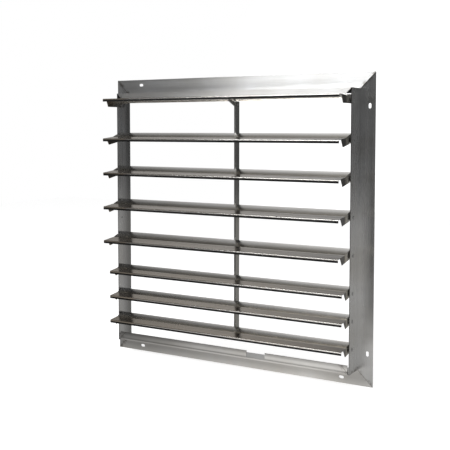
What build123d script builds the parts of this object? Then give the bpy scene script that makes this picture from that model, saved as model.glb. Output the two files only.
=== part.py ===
"""Gravity exhaust shutter: a mitred aluminium wall frame with eight linked, weather-facing blades.

Sizes are in millimetres. X runs along the blades, -Y faces outdoors and Z is up.
The origin is the centre of the opening, on the wall plane (the back of the flange).
The blades are drawn open, as they stand in an air stream.
"""
import os
from math import atan2, cos, degrees, radians, sin, tan

from build123d import *

# Frame
OVERALL_WIDTH = 749.3
OVERALL_HEIGHT = 749.3
FLANGE = 38.1                # width of the wall flange, outside the web
FRAME_DEPTH = 56.5           # wall plane to the front edge of the web
FRAME_WALL = 1.6
LIP_ABOVE_ROLL = 0.35        # front lip of the top rail above the top blade's roll
BOTTOM_LIP = 22.4            # front lip of the bottom rail, from the underside of its web
LIP_LEAN = 1.6               # top of the bottom lip behind its foot
LIP_END_GAP = 0.9            # bottom lip to the end plates of the blades
NOTCH_WIDTH = 51.5           # drain notch in the bottom lip
NOTCH_DEPTH = 16.0
NOTCH_X = 87.2
GROOVE_WIDTH = 1.0           # line along the bottom lip, at the foot of the notch, where the lip bends
GROOVE_DEPTH = 0.5
SLOT_WIDTH = 7.1             # wall screw slots
SLOT_LENGTH = 12.7
SLOT_FROM_EDGE = 14.2
SLOT_FROM_CORNER = 79.6
SPARE_HOLE = 5.0             # unused pivot hole, half way up the left stile

# Corner angles, closed at the front, and their flush rivets
ANGLE_LEG = 12.0
ANGLE_WALL = 1.6
ANGLE_LENGTH = 20.0
ANGLE_RIVET = 4.0
ANGLE_RIVET_HEAD = 7.0
ANGLE_RIVET_HEIGHT = 1.0
ANGLE_RIVET_AT = 7.0         # rivet to the corner

# Blade layout
WIDE_BLADES = 5
NARROW_BLADES = 3
NARROW_PITCH = 66.5
PIVOT_FROM_FRONT = 16.9      # pivot behind the front edge of the web
TOP_TO_PIVOT = 32.05         # outside of the top web to the first pivot
BOTTOM_TO_PIVOT = 58.05      # outside of the bottom web to the last pivot
WIDE_SHORT = 7.4             # a wide blade reaches this much less than its pitch
NARROW_SHORT = 9.0
BLADE_END_GAP = 2.05         # blade end to the stile
REST_DROOP = 10.0            # degrees below level, blades open
TOP_REST_DROOP = 0.0         # the top blade stands level under the lip
CLOSED_DROOP = 80.0

# Blade section, drawn level about its pivot
BLADE_WALL = 1.0
ROLL_RADIUS = 16.5           # rolled rear edge, about the pivot
ROLL_END = 25.0              # degrees above level where the roll ends
CREST_RISE = 3.0             # degrees that the curved rear panel still rises where it leaves the roll
REAR_FALL = 5.2              # degrees that the panel falls, from the roll straight to the fold
FOLD_BEHIND_MIDDLE = 2.3
FRONT_LEVEL = 16.0           # front bend above the pivot
BEND_RADIUS = 1.8
LIP_DEPTH = 5.4
END_DROP = 5.0               # end plate below the pivot
END_SETBACK = 22.0           # lower front corner of the end plate behind the front bend
END_SLANT = 8.5              # upper front corner before the lower one
END_REAR = 8.0

# Edge seal on the front lip
SEAL_SIDE = 1.0
SEAL_GRIP = 2.0
SEAL_BELOW = 2.2
SEAL_SHORT = 0.5             # stops this far short of the blade ends

# Pivots
PIN_DIAMETER = 5.0
PIN_HEAD = 9.0
PIN_HEAD_HEIGHT = 1.5
RUNNING_FIT = 0.05           # radial
BUSH_DIAMETER = 9.0
BUSH_FLANGE = 12.0
BUSH_FLANGE_HEIGHT = 1.2
BUSH_PROUD = 0.4             # outside the stile

# Tie bar, its brackets and pins
CRANK_RADIUS = 24.0          # level behind the pivot when the blades are open
BAR_WIDTH = 19.05
BAR_WALL = 4.76
BAR_END = 8.0                # past the outer pins
BAR_CORNER = 2.0
BAR_X = 8.9                  # left face of the bar
BAR_GAP = 0.4                # bracket ear to the bar
TIE_PIN = 4.0
TIE_PIN_HEAD = 7.0
TIE_PIN_HEIGHT = 1.2
TIE_PIN_FIT = 0.1            # radial, in the bracket ears
TOP_PIN_PLAY = 1.1           # radial, in the top blade's ear
TIE_PIN_PLAY = 0.3           # under the loose head
BRACKET_WALL = 2.0
FOOT_LENGTH = 10.0           # along the blade section
FOOT_WIDTH = 21.0
FOOT_START = 2.5             # from the end of the roll
FOOT_GAP = 0.2               # flat foot to the curved panel
EAR_DEPTH = 9.0              # foot to the lower edge of the ear
EAR_RADIUS = 5.0
RIVET = 3.2
RIVET_HEAD = 6.0
RIVET_HEIGHT = 1.2
RIVET_SPACING = 9.0
RIVET_FIT = 0.05

# Values that follow from the sizes above
blade_count = WIDE_BLADES + NARROW_BLADES
web_x = OVERALL_WIDTH / 2 - FLANGE
web_z = OVERALL_HEIGHT / 2 - FLANGE
first_pivot = web_z - TOP_TO_PIVOT
last_pivot = -web_z + BOTTOM_TO_PIVOT
pivot_y = PIVOT_FROM_FRONT - FRAME_DEPTH
wide_pitch = (first_pivot - last_pivot - (NARROW_BLADES - 1) * NARROW_PITCH) / WIDE_BLADES
blade_half = web_x - FRAME_WALL - BLADE_END_GAP
seal_half = blade_half - SEAL_SHORT
ear_x = BAR_X - BAR_GAP - BRACKET_WALL
main_turn = CLOSED_DROOP - REST_DROOP
top_turn = CLOSED_DROOP - TOP_REST_DROOP
top_crank = CRANK_RADIUS * sin(radians(main_turn / 2)) / sin(radians(top_turn / 2))
top_crank_angle = radians((main_turn - top_turn) / 2)
top_lip = TOP_TO_PIVOT - ROLL_RADIUS - LIP_ABOVE_ROLL
crest_y = ROLL_RADIUS * sin(radians(CREST_RISE))
crest_z = ROLL_RADIUS * cos(radians(CREST_RISE))
angle_front = FRAME_WALL + LIP_LEAN - FRAME_DEPTH
foot_bend = BOTTOM_LIP - NOTCH_DEPTH - GROOVE_WIDTH


def pivot_height(index):
    """Height of a pivot, counted from the top blade."""
    wide_steps = min(index, WIDE_BLADES)
    return first_pivot - wide_steps * wide_pitch - (index - wide_steps) * NARROW_PITCH


def blade_reach(index):
    """Pivot to the front of a blade: the wide blades come first."""
    return wide_pitch - WIDE_SHORT if index < WIDE_BLADES else NARROW_PITCH - NARROW_SHORT


def blade_droop(index):
    """Degrees that an open blade hangs below level."""
    return TOP_REST_DROOP if index == 0 else REST_DROOP


def blade_place(index):
    """Place of a piece that is drawn level about its blade's pivot."""
    return Pos(0, pivot_y, pivot_height(index)) * Rot(blade_droop(index), 0, 0)


def crank_point(index):
    """Tie pin seen from the pivot, as (y, z) with the blade open."""
    if index > 0:
        return CRANK_RADIUS, 0.0
    return top_crank * cos(top_crank_angle), top_crank * sin(top_crank_angle)


def rod(diameter, x_from, x_to, y=0.0, z=0.0):
    """A round bar along X."""
    return Pos(x_from, y, z) * extrude(Plane.YZ * Circle(diameter / 2), x_to - x_from)


def block(x_range, y_range, z_range):
    """A box between two corners."""
    ranges = (x_range, y_range, z_range)
    sizes = [abs(b - a) for a, b in ranges]
    centre = [(a + b) / 2 for a, b in ranges]
    return Pos(*centre) * Box(*sizes)


# Frame rails

def rail(length, outer, front_lip=FRAME_WALL):
    """A rail along X with its flange edge at z = outer, mitred at both ends."""
    web = outer - FLANGE
    front = -FRAME_DEPTH
    points = [(0, outer), (-FRAME_WALL, outer), (-FRAME_WALL, web), (front, web), (front, web - front_lip)]
    if front_lip > FRAME_WALL:
        points += [(front + FRAME_WALL, web - front_lip), (front + FRAME_WALL, web - FRAME_WALL)]
    points += [(0, web - FRAME_WALL)]
    body = extrude(Plane.YZ * make_face(Polyline(*points, close=True)), length / 2, both=True)
    reach = FLANGE + front_lip
    half = length / 2
    mitre = [(-half, outer), (half, outer), (half - reach, outer - reach), (reach - half, outer - reach)]
    body &= extrude(Plane.XZ * make_face(Polyline(*mitre, close=True)), FRAME_DEPTH, both=True)
    slot = extrude(Plane.XZ * SlotOverall(SLOT_LENGTH, SLOT_WIDTH), 2 * FRAME_WALL, both=True)
    for side in (-1, 1):
        body -= Pos(side * (half - SLOT_FROM_CORNER), 0, outer - SLOT_FROM_EDGE) * slot
    return body


def top_rail():
    """Top rail, with a front lip turned down."""
    body = rail(OVERALL_WIDTH, OVERALL_HEIGHT / 2, top_lip)
    for side in (-1, 1):
        body -= corner_rivet_place(side, 1, False) * corner_rivet_hole()
    return body


def bottom_rail():
    """Bottom rail: a front lip turned up in a round bend, which leans in above a line, with a drain notch."""
    body = Rot(0, 180, 0) * rail(OVERALL_WIDTH, OVERALL_HEIGHT / 2)
    half = blade_half - BLADE_WALL - LIP_END_GAP
    front = -FRAME_DEPTH
    lip_top = -web_z + BOTTOM_LIP
    line = lip_top - NOTCH_DEPTH
    face = [(front, -web_z), (front, line), (front + LIP_LEAN, lip_top)]
    back = [(y + FRAME_WALL, z) for y, z in reversed(face)]
    body += extrude(Plane.YZ * make_face(Polyline(*face, *back, close=True)), half, both=True)
    bend_half = half - ANGLE_LEG
    centre = Pos(front + foot_bend, foot_bend - web_z)
    foot = centre * Rectangle(foot_bend, foot_bend, align=(Align.MAX, Align.MAX))
    bend = centre * (Circle(foot_bend) - Circle(foot_bend - FRAME_WALL))
    body -= extrude(Plane.YZ * foot, bend_half, both=True)
    body += extrude(Plane.YZ * (bend & foot), bend_half, both=True)
    notch = (NOTCH_X - NOTCH_WIDTH / 2, NOTCH_X + NOTCH_WIDTH / 2)
    body -= block(notch, (front, front + LIP_LEAN + FRAME_WALL), (line, lip_top))
    body -= block((-half, half), (front, front + GROOVE_DEPTH), (line - GROOVE_WIDTH, line))
    for side in (-1, 1):
        body -= corner_rivet_place(side, -1, False) * corner_rivet_hole()
    return body


def stile(side):
    """A side rail, with the holes for the bushings and the corner rivets."""
    body = Rot(0, side * 90, 0) * rail(OVERALL_HEIGHT, OVERALL_WIDTH / 2)
    x_from, x_to = sorted((side * (web_x - 2 * FRAME_WALL), side * (web_x + FRAME_WALL)))
    for index in range(blade_count):
        body -= rod(BUSH_DIAMETER, x_from, x_to, pivot_y, pivot_height(index))
    for end in (-1, 1):
        body -= corner_rivet_place(side, end, True) * corner_rivet_hole()
    if side < 0:
        body -= rod(SPARE_HOLE, x_from, x_to, pivot_y, 0)
    return body


# Corner angles

def corner(side, end):
    """Inner corner of the frame, as (x, z)."""
    return side * (web_x - FRAME_WALL), end * (web_z - FRAME_WALL)


def corner_rivet_place(side, end, upright):
    """A rivet's place on the inner face of a stile (upright) or a rail, with Z pointing outwards."""
    x, z = corner(side, end)
    y = angle_front + ANGLE_LENGTH / 2
    if upright:
        return Pos(x, y, z - end * ANGLE_RIVET_AT) * Rot(0, side * 90, 0)
    return Pos(x - side * ANGLE_RIVET_AT, y, z) * Rot(0 if end > 0 else 180, 0, 0)


def corner_rivet_hole():
    """The hole for a corner rivet, through frame and angle."""
    return Cylinder(ANGLE_RIVET / 2 + RIVET_FIT, 4 * (FRAME_WALL + ANGLE_WALL))


def corner_angle(side, end):
    """A short angle that joins a stile to a rail, with a plate across its front."""
    x, z = corner(side, end)
    x_leg = (x, x - side * ANGLE_LEG)
    z_leg = (z, z - end * ANGLE_LEG)
    depth = (angle_front, angle_front + ANGLE_LENGTH)
    body = block((x, x - side * ANGLE_WALL), depth, z_leg)
    body += block(x_leg, depth, (z, z - end * ANGLE_WALL))
    body += block(x_leg, (angle_front, angle_front + ANGLE_WALL), z_leg)
    for upright in (True, False):
        body -= corner_rivet_place(side, end, upright) * corner_rivet_hole()
    return body


def corner_rivets():
    """All the corner rivets: a shank flush with the outside of the frame, and a head inside the angle."""
    rivet = Pos(0, 0, (FRAME_WALL - ANGLE_WALL) / 2) * Cylinder(ANGLE_RIVET / 2, FRAME_WALL + ANGLE_WALL)
    rivet += Pos(0, 0, -ANGLE_WALL - ANGLE_RIVET_HEIGHT / 2) * Cylinder(ANGLE_RIVET_HEAD / 2, ANGLE_RIVET_HEIGHT)
    places = [corner_rivet_place(s, e, u) for s in (-1, 1) for e in (-1, 1) for u in (True, False)]
    return Compound([place * rivet for place in places])


# Blades

def fold_point(reach):
    """Middle fold of a blade, on its upper face, as (y, z)."""
    run = (reach + crest_y) / 2 - FOLD_BEHIND_MIDDLE
    return crest_y - run, crest_z - run * tan(radians(REAR_FALL))


def roll():
    """Upper face of the rolled rear edge, up to the rear panel."""
    return CenterArc((0, 0), ROLL_RADIUS, ROLL_END, 90 - CREST_RISE - ROLL_END)


def rear_panel(reach):
    """Upper face of the curved rear panel, from the roll to the fold."""
    leave = (-cos(radians(CREST_RISE)), sin(radians(CREST_RISE)))
    return TangentArc((crest_y, crest_z), fold_point(reach), tangent=leave)


def blade_sheet(reach):
    """The folded sheet: rolled rear edge, curved rear panel, a shallow fold, flat front panel and front lip."""
    front = (-reach, FRONT_LEVEL)
    lip = (-reach, FRONT_LEVEL - LIP_DEPTH)
    front_panel = FilletPolyline(fold_point(reach), front, lip, radius=BEND_RADIUS)
    outline = offset(roll() + rear_panel(reach) + front_panel, BLADE_WALL, side=Side.LEFT)
    return extrude(Plane.YZ * make_face(outline), blade_half, both=True)


def end_plate(reach):
    """The plate that is bent down at each end of a blade and carries its pin."""
    fold_y, fold_z = fold_point(reach)
    foot_y = END_SETBACK - reach
    top_y = foot_y - END_SLANT
    top_z = fold_z + (FRONT_LEVEL - fold_z) * (top_y - fold_y) / (-reach - fold_y) - BLADE_WALL / 2
    start = roll() @ 0
    points = [(fold_y, fold_z), (top_y, top_z), (foot_y, -END_DROP), (END_REAR, -END_DROP), (start.X, start.Y)]
    return extrude(Plane.YZ * make_face(roll() + rear_panel(reach) + Polyline(*points)), BLADE_WALL)


def blade(index):
    """One blade: the sheet, an end plate at each end, and the holes for pins and rivets."""
    reach = blade_reach(index)
    body = blade_sheet(reach)
    body += Pos(-blade_half, 0, 0) * end_plate(reach)
    body += Pos(blade_half - BLADE_WALL, 0, 0) * end_plate(reach)
    body -= rod(PIN_DIAMETER + 2 * RUNNING_FIT, -blade_half, blade_half)
    for place in rivet_places(reach):
        body -= place * Cylinder(RIVET / 2 + RIVET_FIT, 4 * BLADE_WALL)
    return blade_place(index) * body


def edge_seal(index):
    """A soft channel strip that grips the front lip."""
    reach = blade_reach(index)
    lip_end = FRONT_LEVEL - LIP_DEPTH
    length = (-seal_half, seal_half)
    lip = (-reach, -reach + BLADE_WALL)
    strip = block(length, (lip[0] - SEAL_SIDE, lip[1] + SEAL_SIDE), (lip_end - SEAL_BELOW, lip_end + SEAL_GRIP))
    strip -= block(length, lip, (lip_end, lip_end + SEAL_GRIP))
    return blade_place(index) * strip


# Pivots

def pivot_pins(index):
    """The two headed pins that carry a blade."""
    inner = blade_half - BLADE_WALL
    right = rod(PIN_DIAMETER, inner, web_x + BUSH_PROUD) + rod(PIN_HEAD, inner - PIN_HEAD_HEIGHT, inner)
    return blade_place(index) * Compound([Rot(0, 180, 0) * right, right])


def bushings(side):
    """The flanged bushings of one stile."""
    inside = web_x - FRAME_WALL
    outside = web_x + BUSH_PROUD
    body = rod(BUSH_DIAMETER, inside, outside) + rod(BUSH_FLANGE, inside - BUSH_FLANGE_HEIGHT, inside)
    body -= rod(PIN_DIAMETER + 2 * RUNNING_FIT, inside - BUSH_FLANGE_HEIGHT, outside)
    turn = Rot(0, 0 if side > 0 else 180, 0)
    return Compound([Pos(0, pivot_y, pivot_height(i)) * turn * body for i in range(blade_count)])


# Tie bar, brackets and pins

def foot_spot(reach):
    """Middle of the bracket's foot on the upper face of the rear panel, as (y, z, degrees of fall)."""
    panel = rear_panel(reach)
    along = (FOOT_START + FOOT_LENGTH / 2) / panel.length
    point = panel @ along
    forward = panel % along
    return point.X, point.Y, degrees(atan2(-forward.Y, -forward.X))


def rivet_places(reach):
    """Bracket rivets on the upper face of the rear panel, with Z square to it."""
    centre = ear_x - (FOOT_WIDTH - BRACKET_WALL) / 2
    y, z, fall = foot_spot(reach)
    panel = Pos(0, y, z) * Rot(fall, 0, 0)
    return [panel * Pos(centre + side * RIVET_SPACING / 2, 0, 0) for side in (-1, 1)]


def tie_bracket(index):
    """A foot under the rear panel with an ear that reaches back to the tie pin."""
    reach = blade_reach(index)
    y, z, fall = foot_spot(reach)
    panel = Pos(y, z) * Rot(0, 0, fall) * Pos(0, -BLADE_WALL - FOOT_GAP)
    foot = panel * Pos(0, -BRACKET_WALL / 2) * Rectangle(FOOT_LENGTH, BRACKET_WALL)
    cheek = panel * Pos(0, -EAR_DEPTH / 2) * Rectangle(FOOT_LENGTH, EAR_DEPTH)
    root = panel * Pos(0, EAR_RADIUS / 2 - EAR_DEPTH) * Rectangle(FOOT_LENGTH, EAR_RADIUS)
    pin = Rot(0, 0, -blade_droop(index)) * Pos(*crank_point(index))
    eye = pin * Circle(EAR_RADIUS)
    ear = cheek + make_hull(eye.edges() + root.edges())
    ear -= pin * Circle(TIE_PIN / 2 + (TIE_PIN_FIT if index > 0 else TOP_PIN_PLAY))
    body = Pos(ear_x, 0, 0) * extrude(Plane.YZ * ear, BRACKET_WALL)
    body += Pos(ear_x + BRACKET_WALL - FOOT_WIDTH, 0, 0) * extrude(Plane.YZ * foot, FOOT_WIDTH)
    for place in rivet_places(reach):
        body -= place * Cylinder(RIVET / 2 + RIVET_FIT, 4 * (BLADE_WALL + BRACKET_WALL))
    return blade_place(index) * body


def bracket_rivets(index):
    """The rivets that hold a bracket under its blade, flush with the top of the sheet."""
    grip = BLADE_WALL + FOOT_GAP + BRACKET_WALL
    rivet = Pos(0, 0, -grip / 2) * Cylinder(RIVET / 2, grip)
    rivet += Pos(0, 0, -grip - RIVET_HEIGHT / 2) * Cylinder(RIVET_HEAD / 2, RIVET_HEIGHT)
    return blade_place(index) * Compound([place * rivet for place in rivet_places(blade_reach(index))])


def tie_point(index):
    """Tie pin in the frame, as (y, z)."""
    y, z = crank_point(index)
    return y + pivot_y, z + pivot_height(index)


def tie_bar():
    """A flat bar with a hole for each blade's pin."""
    top = tie_point(0)[1]
    bottom = tie_point(blade_count - 1)[1]
    flat = RectangleRounded(BAR_WIDTH, top - bottom + 2 * BAR_END, BAR_CORNER)
    spot = Pos(BAR_X, CRANK_RADIUS + pivot_y, (top + bottom) / 2)
    body = spot * extrude(Plane.YZ * flat, BAR_WALL)
    for index in range(blade_count):
        body -= rod(TIE_PIN, BAR_X, BAR_X + BAR_WALL, *tie_point(index))
    return body


def tie_pins():
    """The pins that are fixed in the bar and turn in the ears of the brackets."""
    left = ear_x - TIE_PIN_PLAY
    right = BAR_X + BAR_WALL
    pin = rod(TIE_PIN, left, right)
    pin += rod(TIE_PIN_HEAD, left - TIE_PIN_HEIGHT, left)
    pin += rod(TIE_PIN_HEAD, right, right + TIE_PIN_HEIGHT)
    return Compound([Pos(0, *tie_point(index)) * pin for index in range(blade_count)])


def pieces():
    """Every piece by name."""
    made = {"top_rail": top_rail(), "bottom_rail": bottom_rail(), "left_stile": stile(-1), "right_stile": stile(1)}
    for side, side_name in ((-1, "left"), (1, "right")):
        for end, end_name in ((1, "top"), (-1, "bottom")):
            made[f"corner_angle_{end_name}_{side_name}"] = corner_angle(side, end)
        made[f"{side_name}_bushings"] = bushings(side)
    made["corner_rivets"] = corner_rivets()
    for index in range(blade_count):
        number = index + 1
        made[f"blade_{number}"] = blade(index)
        made[f"edge_seal_{number}"] = edge_seal(index)
        made[f"pivot_pins_{number}"] = pivot_pins(index)
        made[f"tie_bracket_{number}"] = tie_bracket(index)
        made[f"bracket_rivets_{number}"] = bracket_rivets(index)
    made["tie_bar"] = tie_bar()
    made["tie_pins"] = tie_pins()
    return made


os.makedirs("parts", exist_ok=True)
for name, shape in pieces().items():
    export_step(shape, f"parts/{name}.step")
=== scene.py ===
"""Studio scene for the exhaust shutter: frame and blades of mill-finish aluminium on a white floor.

To the camera the studio is white. To the metal it is dark, apart from a white sweep behind the part, a plain
wall beside the sweep, and some fill from above and from the sides. Soft boxes light the part from the front
and from above. A pair of numbers with no other comment says where a fade starts and ends.
"""
from functools import partial, reduce
from math import radians

import bpy
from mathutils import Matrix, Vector


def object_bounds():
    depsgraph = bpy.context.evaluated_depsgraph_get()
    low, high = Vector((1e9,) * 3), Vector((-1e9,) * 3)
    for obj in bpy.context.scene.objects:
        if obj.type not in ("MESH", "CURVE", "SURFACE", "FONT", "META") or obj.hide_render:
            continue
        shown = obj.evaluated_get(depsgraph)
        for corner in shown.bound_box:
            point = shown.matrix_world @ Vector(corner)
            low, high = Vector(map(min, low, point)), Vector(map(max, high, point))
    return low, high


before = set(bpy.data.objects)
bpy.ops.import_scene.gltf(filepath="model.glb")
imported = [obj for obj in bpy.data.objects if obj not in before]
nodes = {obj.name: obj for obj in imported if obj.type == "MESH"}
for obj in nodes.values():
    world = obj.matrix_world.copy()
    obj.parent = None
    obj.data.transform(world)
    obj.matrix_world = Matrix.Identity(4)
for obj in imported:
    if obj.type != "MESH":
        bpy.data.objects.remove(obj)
cad_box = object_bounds()

# Axes, by their place in a coordinate
X, Y, Z = range(3)

# Camera, fitted to the photograph
CAMERA_PLACE = (1.0367, -1.8528, 0.2388)
CAMERA_TURN = (radians(86.40), 0.0, radians(29.98))
CAMERA_LENS = 66.11
CAMERA_SENSOR = 36.0
CAMERA_SHIFT_Y = -0.096

# Soft boxes, in metres and watts
FRONT_BOX = {"place": (-0.40, -1.85, 1.45), "aim": (0.0, 0.0, 0.3), "size": (1.5, 1.1), "power": 35}
TOP_BOX = {"place": (0.3, -0.6, 2.6), "aim": (0.0, 0.0, 0.0), "size": (2.4, 1.6), "power": 20}

# Floor, in metres and radiance
FLOOR_DROP = 0.0006          # below the part
FLOOR_SIZE = 8.0
FLOOR_COLOUR = (0.8, 0.8, 0.8, 1.0)
FLOOR_WHITE = 0.72           # glow to the camera
FLOOR_TINT = (1.0, 0.98, 0.95, 1.0)
FLOOR_MIRRORED = 0.15        # glow to the metal, far from the part
FLOOR_BEHIND = 0.24          # more of it behind the part
FLOOR_FRONT = (0.24, 0.95)   # more of it close in front of the part, at its left and at its right
FLOOR_RIGHT = 0.95           # more of it in front and to the right
FRONT_ACROSS = (-0.45, 0.25)
FRONT_ALONG = (-0.85, -0.30)
FRONT_END = (0.18, 0.36)     # towards the right end of the part the glow close in front drops
FRONT_END_SHARE = 0.62       # to this share
RIGHT_ACROSS = (0.25, 0.45)
UNDER_PART = (-0.01, 0.01)   # from the floor in front to the floor behind

# Studio, as radiance by direction: +Y is behind the part, +X to its right
STUDIO_FRONT = 0.17
STUDIO_BACK = 0.05
STUDIO_DEPTH = (-0.3, 0.4)   # from front to back
STUDIO_RIGHT = 0.10          # more of it in front and to the right
STUDIO_RIGHT_X = (0.1, 0.35)
STUDIO_RIGHT_Y = (-0.3, 0.0)
SWEEP = 1.1                  # white sweep behind the part
SWEEP_CENTRE = radians(-16)  # from +Y towards +X
SWEEP_EDGE = (radians(4), radians(36))
SWEEP_HEIGHT = [(0.06, 1.0), (0.30, 0.78), (0.53, 0.52), (0.85, 0.02)]
WALL = 0.11                  # plain wall beside the sweep
WALL_EDGE = (radians(22), radians(38))
WALL_BEHIND = (0.0, 0.4)
WALL_TOP = (0.1, 0.4)
CEILING = 0.5                # overhead
CEILING_HEIGHT = (0.82, 0.96)
SIDES = 0.4                  # far left and far right
SIDES_ACROSS = (0.72, 0.92)

# Drawn metal: noise by its scale per metre, and what it does to the colour and the gloss
GRAIN_STRETCH = 0.02         # along the grain
STREAK = {"scale": 520.0, "detail": 5.0}
STREAK_SPREAD = (0.25, 0.75)
STREAK_DEPTH = 0.0002
BAND = {"scale": 70.0, "detail": 3.0, "offset": 1.7}
BAND_SPREAD = (0.3, 0.7)
BAND_TONES = (0.90, 1.0)     # of the dark and the light bands
CLOUD = {"scale": 11.0, "detail": 5.0, "offset": 4.3}
CLOUD_TONES = [(0.35, (0.88, 0.87, 0.85)), (0.65, 1.0)]

# Moulded and painted pieces
SPECKLE = {"scale": 700.0, "detail": 3.0}
SPECKLE_SPREAD = (0.35, 0.65)
SPECKLE_ROUGH_SPREAD = (0.3, 0.7)
SPECKLE_RELIEF = 0.2
SPECKLE_DEPTH = 0.0002

# Colours and finishes
FRAME_COLOUR = (0.69, 0.695, 0.70)
# The bottom rail gets a lighter copy of the frame's aluminium, so that its painted highlight can be brighter
# than the frame
BOTTOM_RAIL_LIT_COLOUR = (0.945, 0.938, 0.925)
BLADE_COLOUR = (0.88, 0.865, 0.84)
BAR_COLOUR = (0.46, 0.46, 0.45)
BRACKET_SHADE = 0.85         # of the frame's colour
PIN_COLOUR = (0.45, 0.45, 0.46)
RAIL_FINISH = {"grain": "x", "rough": (0.28, 0.34), "contrast": 0.05, "anisotropy": 0.85, "relief": 0.03}
STILE_FINISH = {"grain": "z", "rough": (0.22, 0.30), "contrast": 0.04, "anisotropy": 0.75, "relief": 0.02}
BLADE_FINISH = {"grain": "x", "rough": (0.19, 0.27), "contrast": 0.05, "anisotropy": 0.6, "relief": 0.015}
BAR_FINISH = {"grain": "z", "rough": (0.18, 0.28), "anisotropy": 0.3}
BRACKET_FINISH = {"grain": "y", "rough": (0.24, 0.38)}
RIVET_FINISH = {"grain": "z", "rough": (0.3, 0.45)}
PIN_FINISH = {"grain": "x", "rough": (0.25, 0.4)}
SEAL_VINYL = {"dark": 0.004, "light": 0.010, "rough": (0.5, 0.65), "specular": 0.15}
BUSHING_DARK = (0.24, 0.24, 0.235)
BUSHING_LIGHT = (0.30, 0.30, 0.295)
BUSHING_NYLON = {"dark": BUSHING_DARK, "light": BUSHING_LIGHT, "rough": (0.4, 0.55), "specular": 0.4}
ANGLE_PAINT = {"dark": 0.003, "light": 0.008, "rough": (0.4, 0.55), "specular": 0.12}

# Which way a face looks: inwards or outwards by X of its normal times its own X,
# to the front by Y of its normal
INWARD = (-0.2, 0.0)
OUTWARD = (0.0, 0.2)
EDGE_FACING = (-0.9, -0.6)
FLANGE_FACING = (0.6, 0.9)   # to the front or the back
LIP_FACING = (0.8, 0.95)     # to the front or the back

# Tones of the frame, as shares of its colour: stains at the joints, and painted shade and highlight
STAIN = {"scale": 90.0, "detail": 5.0, "offset": 2.0}
STAIN_SPREAD = (0.45, 0.65)
STAIN_REACH = (0.0, 0.012)   # from the mitre
JOINT_REACH = (0.0003, 0.0012)
STAIN_TONE = (0.42, 0.40, 0.38)
# Painted shade along the front edges of the stiles
EDGE_PAINTED_SHADE_Y = (-0.05, -0.04)
EDGE_PAINTED_SHADE_TONE = 0.3
FLANGE_PAINTED_SHADE_TONE = 0.7       # painted shade on the flanges of the stiles
WEB_PAINTED_SHADE_Y = (-0.05, -0.005)
WEB_PAINTED_SHADE_TONE = 0.5          # painted shade on the inner faces of the stiles, towards the wall
BOTTOM_RAIL_PAINTED_LIGHT = [        # painted shade and painted highlight, from the foot of the flange to the top of the lip
    (0.0, 0.78), (0.26, 0.56), (0.60, 0.56), (0.65, 0.64), (0.70, 0.68), (0.726, 0.46), (0.75, 0.66),
    (0.79, 1.0), (0.85, 1.0), (0.90, 0.82), (0.97, 0.62), (1.0, 0.52),
]
BOTTOM_LIP_FOOT = (0.70, 0.78)
LIP_PAINTED_SHADE_X = (-0.36, -0.06)
LIP_PAINTED_SHADE_TONE = 0.55         # painted shade on the bottom lip, at its left end

# Painted shade on the blades, from the front to the crest as they stand at rest
BLADE_CREST_Y = -0.042
BLADE_FRONT_TINT = (1.0, 0.89, 0.77)
BLADE_FRONT_END = 0.45       # share of the way where the front's painted shade ends
BLADE_FRONT_FALL = 0.91      # what is left of that tone there
# Painted shade from the fold up to the crest, where it is gone
BLADE_REAR_PAINTED_SHADE = [(0.57, (0.72, 0.69, 0.63)), (0.81, 1.0)]
# Painted shade on the lips of the blades, at their left ends
BLADE_LIP_PAINTED_SHADE_X = (-0.33, -0.20)
END_INSIDE_PAINTED_SHADE = 0.4        # painted shade on the inner faces of the end plates
END_OUTSIDE_TONE = 0.2       # painted shade on their outer faces, no darker than this

# For each kind, one blade that shows where its front and its ends are, and the front's painted shade at both
# ends
WIDE_BLADE = {"sample": "blade_2", "left": 0.68, "right": 0.11}
NARROW_BLADE = {"sample": "blade_6", "left": 0.80, "right": 0.18}

# Colour sockets of a Mix node
MIX_FIRST = 6
MIX_SECOND = 7
MIX_RESULT = 2


def extent(name, axis):
    """The lowest and the highest coordinate of a piece along an axis."""
    places = [vertex.co[axis] for vertex in nodes[name].data.vertices]
    return min(places), max(places)


def feed(tree, socket, value):
    """Links a socket to another one, or sets its value."""
    if isinstance(value, bpy.types.NodeSocket):
        tree.links.new(value, socket)
    else:
        socket.default_value = value


def maths(tree, operation, first, second=0.0):
    """A math node on two values or sockets."""
    node = tree.nodes.new("ShaderNodeMath")
    node.operation = operation
    feed(tree, node.inputs[0], first)
    feed(tree, node.inputs[1], second)
    return node.outputs[0]


def product(tree, *factors):
    """All the factors multiplied."""
    return reduce(partial(maths, tree, "MULTIPLY"), factors)


def total(tree, *terms):
    """All the terms added up."""
    return reduce(partial(maths, tree, "ADD"), terms)


def absolute(tree, value):
    """A value without its sign."""
    return maths(tree, "ABSOLUTE", value)


def share(tree, value, start, end, low=0.0, high=1.0, kind="LINEAR"):
    """Goes from low to high while the value goes from start to end."""
    node = tree.nodes.new("ShaderNodeMapRange")
    node.interpolation_type = kind
    feed(tree, node.inputs["Value"], value)
    for name, number in (("From Min", start), ("From Max", end), ("To Min", low), ("To Max", high)):
        node.inputs[name].default_value = number
    return node.outputs["Result"]


def fade(tree, value, start, end, low=0.0, high=1.0):
    """Goes smoothly from low to high while the value goes from start to end."""
    return share(tree, value, start, end, low, high, "SMOOTHSTEP")


def ramp(tree, value, stops):
    """A colour ramp on a value: stops are (position, colour or grey)."""
    node = tree.nodes.new("ShaderNodeValToRGB")
    elements = node.color_ramp.elements
    while len(elements) < len(stops):
        elements.new(0.5)
    for element, (position, colour) in zip(elements, stops):
        grey = isinstance(colour, (int, float))
        element.position = position
        element.color = (colour, colour, colour, 1.0) if grey else (*colour, 1.0)
    tree.links.new(value, node.inputs["Fac"])
    return node.outputs["Color"]


def tone_where(tree, mask, tone):
    """Full tone where a mask is 0, and the given one where it is 1."""
    return ramp(tree, mask, [(0.0, 1.0), (1.0, tone)])


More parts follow.
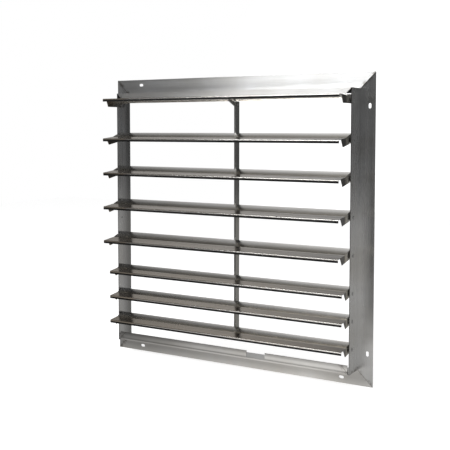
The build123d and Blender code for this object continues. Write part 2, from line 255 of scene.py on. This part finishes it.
def mix(tree, first, second, kind="MULTIPLY", amount=1.0):
    """The product of two colours, or another kind of mix."""
    node = tree.nodes.new("ShaderNodeMix")
    node.data_type = "RGBA"
    node.blend_type = kind
    feed(tree, node.inputs["Factor"], amount)
    tree.links.new(first, node.inputs[MIX_FIRST])
    tree.links.new(second, node.inputs[MIX_SECOND])
    return node.outputs[MIX_RESULT]


def axes(tree, output="Object"):
    """The three coordinates of a point of the part, of its normal, or of a direction in the world."""
    coord = tree.nodes.new("ShaderNodeTexCoord")
    split = tree.nodes.new("ShaderNodeSeparateXYZ")
    tree.links.new(coord.outputs[output], split.inputs[0])
    return split.outputs


def noise(tree, scale, detail, offset=0.0, stretch=(1.0, 1.0, 1.0)):
    """Noise in the part's own coordinates, in metres, stretched by the given factors."""
    coord = tree.nodes.new("ShaderNodeTexCoord")
    mapping = tree.nodes.new("ShaderNodeMapping")
    mapping.inputs["Scale"].default_value = stretch
    mapping.inputs["Location"].default_value = (offset, offset, offset)
    texture = tree.nodes.new("ShaderNodeTexNoise")
    texture.inputs["Scale"].default_value = scale
    texture.inputs["Detail"].default_value = detail
    tree.links.new(coord.outputs["Object"], mapping.inputs["Vector"])
    tree.links.new(mapping.outputs["Vector"], texture.inputs["Vector"])
    return texture.outputs["Fac"]


def bump(tree, height, strength, distance):
    """A bumped normal from a height."""
    node = tree.nodes.new("ShaderNodeBump")
    node.inputs["Strength"].default_value = strength
    node.inputs["Distance"].default_value = distance
    tree.links.new(height, node.inputs["Height"])
    return node.outputs["Normal"]


def emptied(owner):
    """The node tree of a material or a world, with no nodes in it."""
    owner.use_nodes = True
    owner.node_tree.nodes.clear()
    return owner.node_tree


def give_surface(tree, shader, kind="ShaderNodeOutputMaterial"):
    """Puts a shader on the surface of a material, or on the background of a world."""
    out = tree.nodes.new(kind)
    tree.links.new(shader.outputs[0], out.inputs["Surface"])


def new_material(name):
    """A material with a plain Principled shader, as (material, tree, shader)."""
    material = bpy.data.materials.new(name)
    tree = emptied(material)
    shader = tree.nodes.new("ShaderNodeBsdfPrincipled")
    give_surface(tree, shader)
    return material, tree, shader


def scaled(colour, factor):
    """A lighter or darker colour."""
    return tuple(min(1.0, c * factor) for c in colour)


def corner_stains(tree):
    """Dark smudges along the mitred joints of the frame, and the joints themselves."""
    x, _, z = axes(tree)
    off_mitre = absolute(tree, maths(tree, "SUBTRACT", absolute(tree, x), absolute(tree, z)))
    near = fade(tree, off_mitre, *STAIN_REACH, 1.0, 0.0)
    patch = fade(tree, noise(tree, **STAIN), *STAIN_SPREAD)
    joint = fade(tree, off_mitre, *JOINT_REACH, 1.0, 0.0)
    return tone_where(tree, maths(tree, "MAXIMUM", product(tree, near, patch), joint), STAIN_TONE)


def bottom_rail_tone(tree):
    """Stained joints, painted shade and painted highlight in bands along the rail, and more painted shade on
    the lip to the left.
    """
    x, _, z = axes(tree)
    height = share(tree, z, *extent("bottom_rail", Z))
    painted_shade = product(tree, fade(tree, height, *BOTTOM_LIP_FOOT), fade(tree, x, *LIP_PAINTED_SHADE_X, 1.0, 0.0))
    tone = mix(tree, corner_stains(tree), ramp(tree, height, BOTTOM_RAIL_PAINTED_LIGHT))
    return mix(tree, tone, tone_where(tree, painted_shade, LIP_PAINTED_SHADE_TONE))


def stile_tone(tree):
    """Stained joints, and painted shade on the front edges, on the flanges, and on the inner faces towards
    the wall.
    """
    x, y, _ = axes(tree)
    across, facing, _ = axes(tree, "Normal")
    at_front = fade(tree, y, *EDGE_PAINTED_SHADE_Y, 1.0, 0.0)
    edge = product(tree, fade(tree, facing, *EDGE_FACING, 1.0, 0.0), at_front)
    flange = fade(tree, absolute(tree, facing), *FLANGE_FACING)
    inner = fade(tree, product(tree, across, x), *INWARD, 1.0, 0.0)
    painted_shade = product(tree, inner, fade(tree, y, *WEB_PAINTED_SHADE_Y))
    tone = mix(tree, corner_stains(tree), tone_where(tree, edge, EDGE_PAINTED_SHADE_TONE))
    tone = mix(tree, tone, tone_where(tree, flange, FLANGE_PAINTED_SHADE_TONE))
    return mix(tree, tone, tone_where(tree, painted_shade, WEB_PAINTED_SHADE_TONE))


def front_tones(level):
    """The stops from the front of a blade to its crest: warm with painted shade, then full colour."""
    front = scaled(BLADE_FRONT_TINT, level)
    return [(0.0, front), (BLADE_FRONT_END, scaled(front, BLADE_FRONT_FALL))] + BLADE_REAR_PAINTED_SHADE


def blade_tone(tree, sample, left, right):
    """Full colour at the rolled rear and on the lip, warmer and with painted shade between, and painted
    shade inside the end plates.
    """
    x, y, _ = axes(tree)
    across, facing, _ = axes(tree, "Normal")
    outward = product(tree, across, x)
    inside = fade(tree, outward, *INWARD, 1.0, 0.0)
    outside = fade(tree, outward, *OUTWARD, 0.0, END_OUTSIDE_TONE)
    lip = fade(tree, absolute(tree, facing), *LIP_FACING)
    # the lips keep the painted shade of the fronts at their left ends
    lip = product(tree, lip, fade(tree, x, *BLADE_LIP_PAINTED_SHADE_X))
    front_y, _ = extent(sample, Y)
    along = share(tree, y, front_y, BLADE_CREST_Y)
    to_right = share(tree, x, *extent(sample, X))
    # painted shade of the front, far darker at the right end than at the left
    left_tone = ramp(tree, along, front_tones(left))
    right_tone = ramp(tree, along, front_tones(right))
    tone = mix(tree, left_tone, right_tone, "MIX", to_right)
    # lips back to full colour, and the painted shade on the outer faces of the end plates no darker than its
    # limit
    tone = mix(tree, tone, maths(tree, "MAXIMUM", lip, outside), "LIGHTEN")
    return mix(tree, tone, tone_where(tree, inside, END_INSIDE_PAINTED_SHADE))


def metal(name, colour, grain, rough, contrast=0.08, anisotropy=0.0, relief=0.05, tone=None):
    """Mill-finish metal, drawn along one axis: streaks, bands, soft stains and a brushed gloss."""
    material, tree, shader = new_material(name)
    along = tuple(GRAIN_STRETCH if axis == grain else 1.0 for axis in "xyz")
    streak = noise(tree, **STREAK, stretch=along)
    band = noise(tree, **BAND, stretch=along)
    cloud = noise(tree, **CLOUD)
    shades = (scaled(colour, 1 - contrast), scaled(colour, 1 + contrast))
    base = ramp(tree, streak, list(zip(STREAK_SPREAD, shades)))
    base = mix(tree, base, ramp(tree, band, list(zip(BAND_SPREAD, BAND_TONES))))
    base = mix(tree, base, ramp(tree, cloud, CLOUD_TONES))
    # the tone of a piece: stains, and on some pieces painted shade and highlight
    if tone:
        base = mix(tree, base, tone(tree))
    tree.links.new(base, shader.inputs["Base Color"])
    tree.links.new(fade(tree, band, *BAND_SPREAD, *rough), shader.inputs["Roughness"])
    tree.links.new(bump(tree, streak, relief, STREAK_DEPTH), shader.inputs["Normal"])
    shader.inputs["Metallic"].default_value = 1.0
    if anisotropy > 0.0:
        shader.inputs["Anisotropic"].default_value = anisotropy
        across = tree.nodes.new("ShaderNodeTangent")
        across.direction_type = "RADIAL"
        across.axis = grain.upper()
        tree.links.new(across.outputs[0], shader.inputs["Tangent"])
    return material


def moulded(name, dark, light, rough, specular):
    """Vinyl, nylon or paint: a fine speckle with a little tone."""
    material, tree, shader = new_material(name)
    speckle = noise(tree, **SPECKLE)
    base = ramp(tree, speckle, list(zip(SPECKLE_SPREAD, (dark, light))))
    tree.links.new(base, shader.inputs["Base Color"])
    tree.links.new(fade(tree, speckle, *SPECKLE_ROUGH_SPREAD, *rough), shader.inputs["Roughness"])
    tree.links.new(bump(tree, speckle, SPECKLE_RELIEF, SPECKLE_DEPTH), shader.inputs["Normal"])
    shader.inputs["Specular IOR Level"].default_value = specular
    return material


def make_finishes():
    """The material of each kind of piece, by how its name starts. The first one that fits counts."""
    rail = metal("rail_aluminium", FRAME_COLOUR, **RAIL_FINISH, tone=corner_stains)
    low_rail = metal("low_rail_aluminium", BOTTOM_RAIL_LIT_COLOUR, **RAIL_FINISH, tone=bottom_rail_tone)
    stile = metal("stile_aluminium", FRAME_COLOUR, **STILE_FINISH, tone=stile_tone)
    wide_tone = partial(blade_tone, **WIDE_BLADE)
    narrow_tone = partial(blade_tone, **NARROW_BLADE)
    wide = metal("wide_blade_aluminium", BLADE_COLOUR, **BLADE_FINISH, tone=wide_tone)
    narrow = metal("narrow_blade_aluminium", BLADE_COLOUR, **BLADE_FINISH, tone=narrow_tone)
    bar = metal("bar_aluminium", BAR_COLOUR, **BAR_FINISH)
    bracket = metal("bracket_aluminium", scaled(FRAME_COLOUR, BRACKET_SHADE), **BRACKET_FINISH)
    rivet = metal("rivet_aluminium", FRAME_COLOUR, **RIVET_FINISH)
    pin = metal("pin_steel", PIN_COLOUR, **PIN_FINISH)
    seal = moulded("seal_vinyl", **SEAL_VINYL)
    bushing = moulded("bushing_nylon", **BUSHING_NYLON)
    angle = moulded("angle_paint", **ANGLE_PAINT)
    return [
        ("top_rail", rail), ("bottom_rail", low_rail), ("left_stile", stile), ("right_stile", stile),
        ("corner_angle_bottom", bracket), ("corner_angle_top", angle), ("corner_rivets", rivet),
        ("left_bushings", bushing), ("right_bushings", bushing),
        ("blade_6", narrow), ("blade_7", narrow), ("blade_8", narrow), ("blade", wide),
        ("edge_seal", seal), ("pivot_pins", pin), ("tie_bracket", bracket), ("bracket_rivets", rivet),
        ("tie_bar", bar), ("tie_pins", pin),
    ]


def dress():
    """Gives every piece of the part its material."""
    finishes = make_finishes()
    for name, piece in nodes.items():
        fitting = [finish for start, finish in finishes if name.startswith(start)]
        piece.data.materials.clear()
        piece.data.materials.append(fitting[0])


def floor_glow(tree):
    """How bright the floor is to the metal: lit close in front of the part and to its right, else dim."""
    x, y, _ = axes(tree)
    before = fade(tree, y, *UNDER_PART, 1.0, 0.0)
    behind = fade(tree, y, *UNDER_PART, 0.0, FLOOR_BEHIND)
    across = fade(tree, x, *FRONT_ACROSS, *FLOOR_FRONT)
    end = fade(tree, x, *FRONT_END, 1.0, FRONT_END_SHARE)
    close = product(tree, fade(tree, y, *FRONT_ALONG), across, end)
    right = fade(tree, x, *RIGHT_ACROSS, 0.0, FLOOR_RIGHT)
    in_front = product(tree, maths(tree, "MAXIMUM", close, right), before)
    return total(tree, behind, in_front, FLOOR_MIRRORED)


def floor_paper():
    """White paper that keeps a soft shadow for the camera, and has its own glow for the metal."""
    material = bpy.data.materials.new("floor_paper")
    tree = emptied(material)
    path = tree.nodes.new("ShaderNodeLightPath")
    paper = tree.nodes.new("ShaderNodeBsdfDiffuse")
    paper.inputs["Color"].default_value = FLOOR_COLOUR
    white = tree.nodes.new("ShaderNodeEmission")
    tree.links.new(product(tree, path.outputs["Is Camera Ray"], FLOOR_WHITE), white.inputs["Strength"])
    seen = tree.nodes.new("ShaderNodeAddShader")
    tree.links.new(paper.outputs[0], seen.inputs[0])
    tree.links.new(white.outputs[0], seen.inputs[1])
    mirrored = tree.nodes.new("ShaderNodeEmission")
    mirrored.inputs["Color"].default_value = FLOOR_TINT
    tree.links.new(floor_glow(tree), mirrored.inputs["Strength"])
    pick = tree.nodes.new("ShaderNodeMixShader")
    tree.links.new(path.outputs["Is Glossy Ray"], pick.inputs["Fac"])
    tree.links.new(seen.outputs[0], pick.inputs[1])
    tree.links.new(mirrored.outputs[0], pick.inputs[2])
    give_surface(tree, pick)
    return material


def make_floor():
    """A white floor just under the part."""
    low = cad_box[0][Z] - FLOOR_DROP
    half = FLOOR_SIZE / 2
    corners = [(x * half, y * half, low) for x, y in ((-1, -1), (1, -1), (1, 1), (-1, 1))]
    mesh = bpy.data.meshes.new("floor")
    mesh.from_pydata(corners, [], [(0, 1, 2, 3)])
    mesh.materials.append(floor_paper())
    floor = bpy.data.objects.new("floor", mesh)
    bpy.context.scene.collection.objects.link(floor)


def studio_light(tree):
    """What the metal sees of the studio, by direction."""
    x, y, z = axes(tree, "Generated")
    azimuth = maths(tree, "ARCTAN2", x, y)
    off_centre = absolute(tree, maths(tree, "SUBTRACT", azimuth, SWEEP_CENTRE))
    sweep = product(tree, fade(tree, off_centre, *SWEEP_EDGE, 1.0, 0.0), ramp(tree, z, SWEEP_HEIGHT), SWEEP)
    beside = fade(tree, azimuth, *WALL_EDGE, WALL, 0.0)
    wall = product(tree, beside, fade(tree, y, *WALL_BEHIND), fade(tree, z, *WALL_TOP, 1.0, 0.0))
    plain = fade(tree, y, *STUDIO_DEPTH, STUDIO_FRONT, STUDIO_BACK)
    to_right = fade(tree, x, *STUDIO_RIGHT_X, 0.0, STUDIO_RIGHT)
    right = product(tree, to_right, fade(tree, y, *STUDIO_RIGHT_Y, 1.0, 0.0))
    ceiling = fade(tree, z, *CEILING_HEIGHT, 0.0, CEILING)
    sides = fade(tree, absolute(tree, x), *SIDES_ACROSS, 0.0, SIDES)
    return total(tree, sweep, wall, plain, right, ceiling, sides)


def make_world():
    """White to the camera, and the studio to the part."""
    world = bpy.data.worlds.new("studio")
    bpy.context.scene.world = world
    tree = emptied(world)
    path = tree.nodes.new("ShaderNodeLightPath")
    background = tree.nodes.new("ShaderNodeBackground")
    background.inputs["Color"].default_value = (1.0, 1.0, 1.0, 1.0)
    strength = maths(tree, "MAXIMUM", studio_light(tree), path.outputs["Is Camera Ray"])
    tree.links.new(strength, background.inputs["Strength"])
    give_surface(tree, background, "ShaderNodeOutputWorld")


def soft_box(name, place, aim, size, power):
    """A soft box at a place, aimed at a point."""
    data = bpy.data.lights.new(name, "AREA")
    data.shape = "RECTANGLE"
    data.size, data.size_y = size
    data.energy = power
    lamp = bpy.data.objects.new(name, data)
    lamp.location = place
    lamp.rotation_euler = (Vector(aim) - Vector(place)).to_track_quat("-Z", "Y").to_euler()
    bpy.context.scene.collection.objects.link(lamp)


def make_camera():
    """The photograph's camera."""
    data = bpy.data.cameras.new("camera")
    data.sensor_width = CAMERA_SENSOR
    data.lens = CAMERA_LENS
    data.shift_y = CAMERA_SHIFT_Y
    camera = bpy.data.objects.new("camera", data)
    camera.location = CAMERA_PLACE
    camera.rotation_euler = CAMERA_TURN
    bpy.context.scene.collection.objects.link(camera)
    bpy.context.scene.camera = camera


dress()
make_floor()
make_world()
soft_box("front_box", **FRONT_BOX)
soft_box("top_box", **TOP_BOX)
make_camera()
bpy.context.scene.view_settings.view_transform = "Standard"
